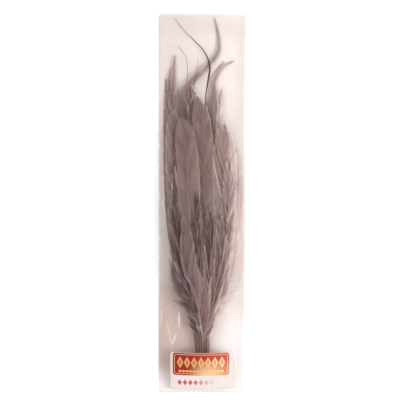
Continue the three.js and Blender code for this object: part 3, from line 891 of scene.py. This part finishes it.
class Barbs:
    """The barbs of one vane, swept and gathered into locks, and loose and wavy in the fluff."""

    def __init__(self, shaft, side, settings, dice):
        self.shaft, self.side, self.settings = shaft, side, settings
        self.split = shaft.feather["split"]
        self.edge, self.stray = barb_edges(shaft, settings.barb_pitch / MM, dice)
        self.locks = Locks(shaft, self.edge, dice)
        self.soft = shaft.softness(self.edge)
        self.gather = np.clip(self.split * (0.75 + 0.35 * self.locks.gather) + 0.1 * self.soft,
                              0, 0.95)
        traits = (dice.uniform(-1, 1, self.edge.shape) for _ in range(6))
        self.jitter, self.phase, self.phase_2, self.tint, self.roll, self.uneven = traits
        self.t = np.linspace(0, 1, BARB_POINTS)
        self.whole_reach, self.reach = self.reaches()
        self.middles = self.lines()

    def by_split(self, pair):
        """An amount that grows as the vane falls into locks."""
        return pair[0] + pair[1] * self.split

    def swing(self, turns, phase=0):
        """A sine wave along the barbs."""
        return np.sin(2 * math.pi * (turns * self.t + phase))

    def reaches(self):
        """How far the vane reaches from the shaft at each barb, and how far the barb does."""
        feather, soft = self.shaft.feather, self.soft
        width = feather["left"] if self.side < 0 else feather["right"]
        whole = width * self.shaft.vane_share(self.edge)
        short = lerp(self.by_split(SHORT_LOCKS), self.by_split(SHORT_DOWN), soft)
        uneven = self.by_split(UNEVEN_BARBS) + UNEVEN_DOWN * soft
        reach = whole * (1 - short * (0.5 + 0.5 * self.locks.short))
        reach = reach * (1 + uneven * self.uneven) * lerp(1, feather["fluff"], soft)
        reach = reach * (1 - 0.5 * self.gather * np.abs(self.locks.from_middle))
        past_foot = smoothstep(self.edge, FLUFF_FROM, FLUFF_TO)
        return whole, reach * lerp(1, lerp(*FLUFF_REACH, past_foot), soft)

    def ends(self):
        """How far along the vane each barb starts and ends."""
        edge, soft, sweep = self.edge, self.soft, self.settings.sweep
        soft_sweep = lerp(FOOT_SWEEP, sweep, smoothstep(edge, FLUFF_TO, 2 * FLUFF_TO))
        sweep = lerp(sweep * self.by_split(SWEEP), soft_sweep, soft)
        sweep = sweep * (1 + 0.25 * self.split * self.locks.sweep + 0.12 * soft * self.jitter)
        root = np.maximum(edge - (sweep - EDGE_SWEEP) * self.whole_reach, 0)
        tip = edge + EDGE_SWEEP * self.reach + self.gather * (self.locks.aim - edge)
        return root, np.maximum(tip, root + 0.3 * self.reach)

    def lines(self):
        """The middle line of each barb, which stays in the layer of its feather."""
        shaft, locks, split, reach, t = self.shaft, self.locks, self.split, self.reach, self.t
        root, tip = self.ends()
        wave = self.soft * t * np.minimum(reach / WAVY_REACH, 1)
        bow = split * (1 - self.soft) * np.minimum(reach / BOWED_REACH, 1)
        along = root + (tip - root) * (0.62 * t + 0.38 * t ** 2)
        along = along + WAVE_ALONG * wave * self.swing(0.8, self.phase)
        from_shaft = 0.5 * shaft.radius(shaft.vane_from + root)
        offset = from_shaft + (reach - from_shaft) * t ** 0.92
        offset = offset + WAVE_OUT * wave * self.swing(1.1, self.phase_2)
        offset = offset + STRAY_OUT * self.stray * wave * self.jitter
        offset = offset + BOW_OUT * bow * locks.short * self.swing(0.5)
        offset = offset + SNAKE_OUT * bow * locks.lift * self.swing(1)
        x, y, along_x, along_y = shaft.at(shaft.vane_from + along)
        x = np.clip(x + along_y * offset * self.side, -INSIDE_HALF_WIDTH, INSIDE_HALF_WIDTH)
        y = y - along_x * offset * self.side
        lift = 0.3 * locks.lift * t + split * (0.5 + locks.lift) * t ** 2
        lift = lift + 0.9 * wave * self.swing(0.9, self.phase_2 + self.phase)
        z = shaft.height(x, y) + shaft.room(x, y) * LIFT_ROOM * np.tanh(lift)
        return np.stack([x, y, np.minimum(z, front_inside(x, y) - CARD_GAP)], axis=-1)

    def sides(self):
        """Half of the way across each barb, rolled like a roof tile over the next one's."""
        run = np.gradient(self.middles, axis=1)
        run /= np.linalg.norm(run, axis=2, keepdims=True) + 1e-9
        level = np.zeros(run.shape[:2])
        across = np.stack([-run[..., 1], run[..., 0], level], axis=-1) * self.side
        across[..., 2] = np.sin(BARB_ROLL + 0.2 * self.locks.gather + 0.12 * self.roll)
        half = lerp(self.settings.barb_width, self.settings.down_width, self.soft) / MM / 2
        taper = np.clip((1 - self.t) * lerp(2.2, 1.3, self.gather), 0.06, 1) ** 0.8
        return across * (half * taper)[..., None]

    def tones(self):
        """Locks differ in tone, and the vane's edge and the bunch's tips are light. Painted light
        brightens the middles and one side of locks, painted shade darkens their sides and the barbs
        near the shaft, and a few barbs get painted glints.
        """
        locks, split, soft, t = self.locks, self.split, self.soft, self.t
        rough = self.shaft.raggedness(self.edge) * split
        foot = 1 - smoothstep(self.edge, FLUFF_FROM, FLUFF_TO + 12)
        tone = DARKEST_VANE + SHADE_TONE * self.shaft.feather["shade"]
        tone = tone + self.by_split(LOCK_TONE) * locks.tone
        tone = tone + (self.by_split(BARB_TONE) + ROUGH_TONE * rough) * self.tint
        tone = tone + SOFT_TONE * (soft - rough)
        tone = tone + foot * (FOOT_BARB_TONE * self.tint + FOOT_LOCK_TONE * locks.tone)
        tone = tone + self.by_split(PAINTED_GLINT_TONE) * (self.tint > PAINTED_GLINT_FROM)
        # Painted light brightens the middle and one side of each lock and painted shade darkens its
        # sides
        tone = tone + split * (0.12 - 0.36 * locks.from_middle ** 2 + 0.1 * locks.from_middle)
        tone = tone - self.by_split(INNER_SHADE_TONE) * (1 - t) ** 2
        tone = tone + EDGE_TONE * (1 - soft) * smoothstep(t, 0.84, 1)
        return tone + TIPS_TONE * smoothstep(self.middles[..., 1], *TIPS_TONE_Y)

    def grow(self, strands):
        maps = np.stack(np.broadcast_arrays(self.t * self.reach * MM, self.edge / 10), axis=-1)
        strands.ribbons(self.middles, self.sides(), self.tones(), maps, 0)


def grow_shaft(strands, shaft):
    """The quill and shaft: a tube that tapers to the tip."""
    distances = np.append(np.arange(0, shaft.length, SHAFT_STEP), shaft.length)
    x, y, along_x, along_y = shaft.at(distances)
    z = shaft.height(x, y)
    radius = shaft.radius(distances)
    radius[[0, -1]] *= END_PINCH
    turn = np.linspace(0, 2 * math.pi, SHAFT_SIDES, endpoint=False)
    flat = np.minimum(radius, SHAFT_FLATNESS * shaft.room(x, y) + 0.05)
    out, up = np.cos(turn) * radius[:, None], np.sin(turn) * flat[:, None]
    rings = np.stack([x[:, None] + along_y[:, None] * out, y[:, None] - along_x[:, None] * out,
                      z[:, None] + up], axis=-1)
    past = shaft.past_blade(distances)
    tone = SHAFT_TONE + SHAFT_SHADE_TONE * shaft.feather["shade"]
    tone = tone + shaft.feather["shaft"] * (1 - 0.75 * smoothstep(np.abs(past - 1), 0.1, 0.8))
    maps = np.stack([distances * MM, np.full(len(distances), shaft.layer / 10)], axis=-1)
    strands.tube(rings[:, ::-1], tone, maps, 1)


def make_feather(layer, settings, paints):
    shaft = Shaft(layer)
    dice = np.random.default_rng(settings.seed + layer)
    strands = Strands()
    for side in (-1, 1):
        Barbs(shaft, side, settings, dice).grow(strands)
    grow_shaft(strands, shaft)
    node = f"feather_{layer + 1:02d}"
    mesh = strands.mesh(f"barbed_{node}")
    slots = {row["node"]: row["material_slot"] for row in frame["record"]["subparts"]}
    show(f"barbed_{node}", mesh, paints, slots[node], node)


# Thread
def thread_path(settings):
    """Points evenly along the thread, which winds round the quills in a rounded square."""
    diameter = settings.diameter / MM
    half_columns = (max(ROW_SIZES) - 1) / 2
    half_rows = (len(ROW_SIZES) - 1) / 2
    to_middle = QUILL_RADIUS + THREAD_GAP + diameter / 2
    turn = np.linspace(0, 2 * math.pi * settings.turns, THREAD_STEPS)
    across, upward = (
        np.sign(wave) * np.abs(wave) ** (2 / THREAD_SQUARENESS)
        for wave in (np.cos(turn), np.sin(turn))
    )
    x = (half_columns * QUILL_PITCH_X + to_middle) * across
    y = THREAD_Y + (turn / turn[-1] - 0.5) * (settings.turns - 1) * diameter
    z = QUILL_FLOOR_Z + half_rows * QUILL_PITCH_Z
    z = z + (half_rows * QUILL_PITCH_Z + to_middle) * upward
    path = np.stack([x, y, z], axis=-1)
    lengths = np.concatenate([[0], np.cumsum(np.linalg.norm(np.diff(path, axis=0), axis=1))])
    even = np.linspace(0, lengths[-1], THREAD_STEPS)
    return np.stack([np.interp(even, lengths, column) for column in path.T], axis=-1), even


def make_thread(settings):
    """Two-ply thread wound round the quills."""
    path, even = thread_path(settings)
    run = np.gradient(path, axis=0)
    run /= np.linalg.norm(run, axis=1, keepdims=True)
    side = np.cross(run, (0, 1, 0))
    side /= np.linalg.norm(side, axis=1, keepdims=True)
    other = np.cross(side, run)
    ply = settings.diameter / MM / 4
    twist = 2 * math.pi * even / PLY_TWIST
    around = np.linspace(0, 2 * math.pi, PLY_SIDES, endpoint=False)[:, None]
    section = np.cos(around) * side[:, None] + np.sin(around) * other[:, None]
    strands = Strands()
    for start in (0, math.pi):
        out, up = np.cos(twist + start)[:, None], np.sin(twist + start)[:, None]
        centre = path + ply * (out * side + up * other)
        rings = centre[:, None] + PLY_FULLNESS * ply * section
        maps = np.stack([even / 100, np.full(len(even), start)], axis=-1)
        strands.tube(rings, np.zeros(len(even)), maps, 0)
    mesh = strands.mesh("wound_thread")
    show("wound_thread", mesh, [paint_thread(settings)], "thread", "quill_thread")


# Card
def make_card(settings):
    """The printed card, bowed over the quills under the front film."""
    across = np.linspace(0, 1, CARD_COLUMNS)
    down = np.linspace(0, 1, CARD_ROWS)[:, None]
    from_edge = np.minimum(across, 1 - across) * CARD_WIDTH
    reach = np.maximum(CARD_CORNER - from_edge, 0)
    inset = CARD_CORNER - np.sqrt(CARD_CORNER ** 2 - reach ** 2)
    x = CARD_CENTRE_X + (across - 0.5) * CARD_WIDTH
    flat_y = CARD_TOP_Y - lerp(inset, CARD_HEIGHT - inset, down)
    x, flat_y = np.broadcast_arrays(x, flat_y)
    bow = CARD_BOW * (1 - (2 * across - 1) ** 2)
    y = flat_y - bow * (1 - 0.5 * down)
    wave = CARD_WAVE * Ripple(seed=5, shortest=12, longest=40)(x, y)
    top = front_inside(x, y) - CARD_GAP + wave
    front = np.stack([x, y, top], axis=-1)
    back = front - (0, 0, CARD_THICKNESS)
    count = CARD_ROWS * CARD_COLUMNS
    face = grid_quads(CARD_ROWS, CARD_COLUMNS)
    corner = np.arange(count).reshape(CARD_ROWS, CARD_COLUMNS)
    rim = np.concatenate([corner[0], corner[1:, -1], corner[-1, -2::-1], corner[-2:0:-1, 0]])
    beside = np.roll(rim, -1)
    wall = np.stack([rim, beside, beside + count, rim + count], axis=-1)
    quads = np.concatenate([face[:, ::-1], face + count, wall])
    points = np.concatenate([front.reshape(-1, 3), back.reshape(-1, 3)])
    mesh = grid_mesh("printed_card", points, quads)
    places = np.stack([x, flat_y - CARD_TOP_Y], axis=-1).reshape(-1, 2) / MAP_SIZE
    set_map(mesh, np.concatenate([places, places + PLAIN_BACK]))
    show("printed_card", mesh, [paint_card(settings)], "card", "label_card")


# Sleeve. A crease of its front has a start, an end, a half width and a height.
CREASES = [
    ((-20.5, -92), (-20, -108), 0.8, 0.9),
    ((-22, -111), (-27, -123), 0.7, 0.8),
    ((-35, -84), (-36, -112), 0.7, 0.6),
    ((-32, -96), (-25, -128), 1.1, 0.5),
    ((25, -112), (30, -150), 1.1, 0.4),
    ((-33, 96), (-36, 60), 0.8, 0.4),
    ((-34, 40), (-33, -20), 0.9, 0.4),
    ((20, 135), (33, 118), 1.2, 0.35),
    ((-33, 132), (-14, 141), 1.2, 0.35),
]


def crease_height(x, y):
    """Height of the creases, which also sets their painted highlights."""
    total = np.zeros(np.broadcast(x, y).shape)
    for (x0, y0), (x1, y1), half, height in CREASES:
        run_x, run_y = x1 - x0, y1 - y0
        length = math.hypot(run_x, run_y)
        share = np.clip(((x - x0) * run_x + (y - y0) * run_y) / length ** 2, 0, 1)
        away = np.hypot(x - x0 - share * run_x, y - y0 - share * run_y)
        ridge = np.exp(-(away / half) ** 2) * np.sin(math.pi * np.clip(share, 0.02, 0.98)) ** 0.5
        total = np.maximum(total, height * ridge)
    return total


def front_sheet(across, rows, crease_scale):
    """Points and haze of the wrinkled front, sealed to the back at its sides and its bottom. The
    haze holds painted highlights on creases and crinkles and painted light at the right edge and
    the bottom seal.
    """
    x, y = np.meshgrid(across, rows)
    middle = np.mean([front_middle(y + shift) for shift in (-7, -3.5, 0, 3.5, 7)], axis=0)
    to_seal = smoothstep(y, -SLEEVE_HALF_LENGTH, 2 * BOTTOM_SEAL - SLEEVE_HALF_LENGTH)
    fullness = cross_fullness(x, SLEEVE_HALF_WIDTH) * to_seal
    beside = smoothstep(-x, 27, 33) * smoothstep(y, -112, -80) * (1 - smoothstep(y, 80, 105))
    ripple = Ripple(seed=11, shortest=16, longest=60, lean=(1.4, 0.5))(x, y)
    crinkle = 1 - np.abs(Ripple(seed=12, shortest=5, longest=12)(x, y)).clip(0, 1)
    fold = crease_height(x, y)
    crinkled = (CRINKLE_HEIGHT + BESIDE_CRINKLE_HEIGHT * beside) * crinkle ** 4
    wrinkle = RIPPLE_HEIGHT * ripple + crinkled + CREASE_SHARE * fold
    z = FILM / 2 + middle * fullness + wrinkle * np.sqrt(fullness) * crease_scale
    # Painted highlights whiten the creases and crinkle ridges, and painted light whitens the right
    # edge and the bottom seal
    haze = CREASE_HIGHLIGHT * fold + CRINKLE_HIGHLIGHT * crinkle ** 6 * (0.12 + beside)
    haze = haze + RIGHT_PAINTED_LIGHT * smoothstep(x, 32.5, 37.5) + LEFT_HAZE * smoothstep(-x, 36.4, 37)
    haze = haze + SEAL_PAINTED_LIGHT * (1 - smoothstep(y, -162, -158.5))
    return np.stack([x, y, z], axis=-1), haze


def back_sheet(across, rows):
    """Points and haze of the back, which folds over the mouth and runs down the front as a flap."""
    flat = np.full_like(across, FILM / 2)

    def row_at(x, y, rise):
        return np.stack([x, np.full_like(x, y), flat + rise], axis=-1)

    flap_x = across * FLAP_HALF_WIDTH / SLEEVE_HALF_WIDTH
    over_film = FLAP_GAP + FILM
    fullness = cross_fullness(flap_x, SLEEVE_HALF_WIDTH)
    wave = Ripple(seed=13, shortest=14, longest=50)
    places = [row_at(across, y, 0) for y in rows]
    for bend in np.linspace(0.1, 1, FOLD_ROWS) * math.pi:
        rise = (front_middle(MOUTH_Y) * fullness + over_film) * (1 - math.cos(bend)) / 2
        bulge = (SLEEVE_HALF_LENGTH - MOUTH_Y) * math.sin(bend) ** 0.6
        places.append(row_at(flap_x, MOUTH_Y + bulge, rise))
    for y in np.linspace(MOUTH_Y - 1, SLEEVE_HALF_LENGTH - FLAP_LENGTH, FLAP_ROWS):
        rise = front_middle(y) * fullness + over_film + FLAP_WAVE * wave(flap_x, y)
        places.append(row_at(flap_x, y, rise))
    places = np.array(places)
    haze = np.zeros(places.shape[:2])
    flap = slice(len(rows) + FOLD_ROWS, None)
    haze[flap] = FLAP_HAZE * smoothstep(places[flap, :, 1], FLAP_HAZE_Y + 0.5, FLAP_HAZE_Y - 0.5)
    haze[-1] = FLAP_EDGE_HAZE
    return places, haze


def make_sleeve(settings):
    """The film: a milky back that folds over the mouth into a flap, and a clear wrinkled front."""
    across = SLEEVE_HALF_WIDTH * np.sin(np.linspace(-math.pi / 2, math.pi / 2, SLEEVE_COLUMNS))
    rows = np.arange(-SLEEVE_HALF_LENGTH, MOUTH_Y + 0.1, SLEEVE_ROW_STEP)
    front, front_haze_and_light = front_sheet(across, rows, settings.crease_height / MM)
    back, back_haze = back_sheet(across, rows)
    fold = len(rows) + FOLD_ROWS // 2
    strands = Strands()
    sheets = (
        (front, front_haze_and_light, 1, 0),
        (back[:fold + 1], back_haze[:fold + 1], -1, 1),
        (back[fold:], back_haze[fold:], -1, 0),
    )
    for sheet, haze, flip, material in sheets:
        quads = grid_quads(*sheet.shape[:2])[:, ::flip]
        strands.add(sheet, quads, haze, sheet[..., :2] * MM, material)
    strands.weld()
    paints = [
        paint_film("clear_film", settings, settings.front_clearness),
        paint_film("milky_film", settings, settings.back_clearness),
    ]
    show("clear_sleeve", strands.mesh("clear_sleeve"), paints, "film", "film_sleeve")


# Stage
def make_light(name, place, size, power):
    """A square soft light that looks at the middle of the bunch."""
    data = bpy.data.lights.new(name, "AREA")
    data.size = size
    data.energy = power
    light = bpy.data.objects.new(name, data)
    light.location = place
    light.rotation_euler = (-light.location).to_track_quat("-Z", "Y").to_euler()
    light.visible_camera = False
    bpy.context.scene.collection.objects.link(light)


def make_stage(settings):
    scene = bpy.context.scene
    scene.view_settings.view_transform = "Standard"
    half = settings.floor_size / 2 / MM
    places = np.linspace(-half, half, 3)
    x, y = np.meshgrid(places, places)
    mesh = grid_mesh("floor", np.stack([x, y, np.full_like(x, -0.1)], axis=-1).reshape(-1, 3),
                     grid_quads(3, 3))
    set_map(mesh, np.zeros((9, 2)))
    mesh.materials.append(paint_floor(settings))
    floor = bpy.data.objects.new("floor", mesh)
    scene.collection.objects.link(floor)

    world = bpy.data.worlds.new("studio")
    world.use_nodes = True
    backdrop = world.node_tree.nodes["Background"]
    backdrop.inputs["Color"].default_value = (1, 1, 1, 1)
    backdrop.inputs["Strength"].default_value = settings.ambient
    scene.world = world
    make_light("key", place=(1, -0.3, 0.8), size=0.8, power=settings.key_power)
    make_light("fill", place=(-0.9, -0.5, 1.3), size=1.4, power=settings.fill_power)

    camera = bpy.data.cameras.new("camera")
    camera.lens = settings.lens
    height = VIEW_WIDTH * MM * camera.lens / camera.sensor_width
    camera.clip_end = 100
    viewer = bpy.data.objects.new("camera", camera)
    viewer.location = (VIEW_CENTRE[0] * MM, VIEW_CENTRE[1] * MM, height)
    scene.collection.objects.link(viewer)
    scene.camera = viewer


# Settings that a user would change
def colour_setting(name, description, display):
    return FloatVectorProperty(name=name, description=description, subtype="COLOR", size=3,
                               min=0, max=1, default=linear(*display))


def length_setting(name, description, millimetres):
    return FloatProperty(name=name, description=description, unit="LENGTH", min=0, precision=5,
                         default=millimetres * MM)


class FeatherSettings(bpy.types.PropertyGroup):
    barb_pitch: length_setting("Barb pitch", "Distance between barbs along the shaft", 0.6)
    barb_width: length_setting("Barb width", "Width of a webby barb", 0.62)
    down_width: length_setting("Down width", "Width of a strand of fluff", 0.2)
    sweep: FloatProperty(name="Sweep", description="How far barbs run forward for their reach",
                         default=2.7, min=0.6, max=4)
    seed: IntProperty(name="Seed", description="Which random bunch is made", default=40, min=0)
    shadow: colour_setting("Shadow", "Darkest barbs", (44, 30, 31))
    dark: colour_setting("Dark", "Dark taupe barbs", (103, 79, 78))
    middle: colour_setting("Middle", "Taupe barbs", (163, 137, 132))
    pale: colour_setting("Pale", "Pale down", (244, 226, 221))
    horn: colour_setting("Horn", "Pale shafts", (206, 186, 178))
    whip: colour_setting("Whip", "Darkest shafts", (66, 36, 26))
    quill: colour_setting("Quill", "Bound ends of the shafts", (104, 60, 36))


class ThreadSettings(bpy.types.PropertyGroup):
    turns: IntProperty(name="Turns", description="Turns round the quills", default=4, min=1)
    diameter: length_setting("Diameter", "Thickness of the thread", 0.55)
    light: colour_setting("Thread", "Cotton", (226, 216, 200))
    worn: colour_setting("Worn", "Cotton in the hollows", (178, 164, 144))


class CardSettings(bpy.types.PropertyGroup):
    paper: colour_setting("Paper", "White card", (222, 207, 202))
    panel: colour_setting("Panel", "Printed panel", (150, 4, 0))
    # The lit sides of the panel and the gold are colours of painted light and painted glare; the
    # pale gold also inks the keyline
    panel_glare: colour_setting("Panel, lit side", "Printed panel under glare", (216, 84, 66))
    gold: colour_setting("Gold", "Ornament", (204, 148, 66))
    pale_gold_and_glare: colour_setting("Gold, lit side", "Ornament under glare", (255, 236, 180))


class SleeveSettings(bpy.types.PropertyGroup):
    front_clearness: FloatProperty(name="Front clearness", description="How clear the front is",
                                   subtype="FACTOR", default=0.975, min=0, max=1)
    back_clearness: FloatProperty(name="Back clearness", description="How clear the back is",
                                  subtype="FACTOR", default=0.5, min=0, max=1)
    crease_height: length_setting("Creases", "Height of the wrinkles", 1)
    # The film turns from its thin tint to its milky tint where it is milky and also where painted
    # shade darkens it; painted light at the bottom takes it back towards the thin tint
    tint: colour_setting("Tint", "Film where it is milky", (208, 182, 173))
    tint_thin: colour_setting("Thin tint", "Film where it is clearer", (252, 241, 237))
    # Colour of the film's haze, of its painted highlights and of its painted light
    haze_and_highlight: colour_setting("Crease", "Film along creases and seams", (255, 255, 254))


class StageSettings(bpy.types.PropertyGroup):
    floor: colour_setting("Floor", "Board under the sleeve", (255, 255, 255))
    floor_size: FloatProperty(name="Floor size", description="Width of the board", unit="LENGTH",
                              default=6, min=1)
    ambient: FloatProperty(name="Ambient", description="Strength of the light all round",
                           default=0.8, min=0)
    key_power: FloatProperty(name="Key", description="Power of the light from the upper right",
                             default=11, min=0, unit="POWER")
    fill_power: FloatProperty(name="Fill", description="Power of the light from the left",
                              default=5, min=0, unit="POWER")
    lens: FloatProperty(name="Lens", description="Focal length in millimetres", default=200,
                        min=20, unit="CAMERA")


class SCHLAPPEN_OT_feathers(bpy.types.Operator):
    """Grow the barbs and shafts of all the feathers"""

    bl_idname = "schlappen.feathers"
    bl_label = "Feathers"

    def execute(self, context):
        settings = context.scene.schlappen_feathers
        paints = [paint_vane(settings), paint_shaft(settings)]
        for layer in range(len(FEATHERS)):
            make_feather(layer, settings, paints)
        return {"FINISHED"}


class SCHLAPPEN_OT_thread(bpy.types.Operator):
    """Wind the thread round the quills"""

    bl_idname = "schlappen.thread"
    bl_label = "Thread"

    def execute(self, context):
        make_thread(context.scene.schlappen_thread)
        return {"FINISHED"}


class SCHLAPPEN_OT_card(bpy.types.Operator):
    """Print the card and slip it over the quills"""

    bl_idname = "schlappen.card"
    bl_label = "Card"

    def execute(self, context):
        make_card(context.scene.schlappen_card)
        return {"FINISHED"}


class SCHLAPPEN_OT_sleeve(bpy.types.Operator):
    """Wrap the bunch in its film"""

    bl_idname = "schlappen.sleeve"
    bl_label = "Sleeve"

    def execute(self, context):
        make_sleeve(context.scene.schlappen_sleeve)
        return {"FINISHED"}


class SCHLAPPEN_OT_stage(bpy.types.Operator):
    """Set up the floor, the lights and the camera"""

    bl_idname = "schlappen.stage"
    bl_label = "Stage"

    def execute(self, context):
        make_stage(context.scene.schlappen_stage)
        return {"FINISHED"}


OPERATORS = (
    SCHLAPPEN_OT_stage,
    SCHLAPPEN_OT_feathers,
    SCHLAPPEN_OT_thread,
    SCHLAPPEN_OT_card,
    SCHLAPPEN_OT_sleeve,
)
SETTINGS = {
    "schlappen_feathers": FeatherSettings,
    "schlappen_thread": ThreadSettings,
    "schlappen_card": CardSettings,
    "schlappen_sleeve": SleeveSettings,
    "schlappen_stage": StageSettings,
}


class SCHLAPPEN_PT_bunch(bpy.types.Panel):
    """Settings and steps of the bunch"""

    bl_idname = "SCHLAPPEN_PT_bunch"
    bl_label = "Rooster Schlappen"
    bl_space_type = "VIEW_3D"
    bl_region_type = "UI"
    bl_category = "Schlappen"

    def draw(self, context):
        for step in OPERATORS:
            box = self.layout.box()
            box.operator(step.bl_idname)
            group = getattr(context.scene, step.bl_idname.replace(".", "_"))
            for name in group.__annotations__:
                box.prop(group, name)


CLASSES = (*SETTINGS.values(), *OPERATORS, SCHLAPPEN_PT_bunch)


def register():
    for made in CLASSES:
        bpy.utils.register_class(made)
    for name, group in SETTINGS.items():
        setattr(bpy.types.Scene, name, PointerProperty(type=group))


def unregister():
    for name in SETTINGS:
        delattr(bpy.types.Scene, name)
    for made in reversed(CLASSES):
        bpy.utils.unregister_class(made)


def main():
    register()
    bpy.ops.schlappen.stage()
    bpy.ops.schlappen.feathers()
    bpy.ops.schlappen.thread()
    bpy.ops.schlappen.card()
    bpy.ops.schlappen.sleeve()


if __name__ == "__main__":
    main()
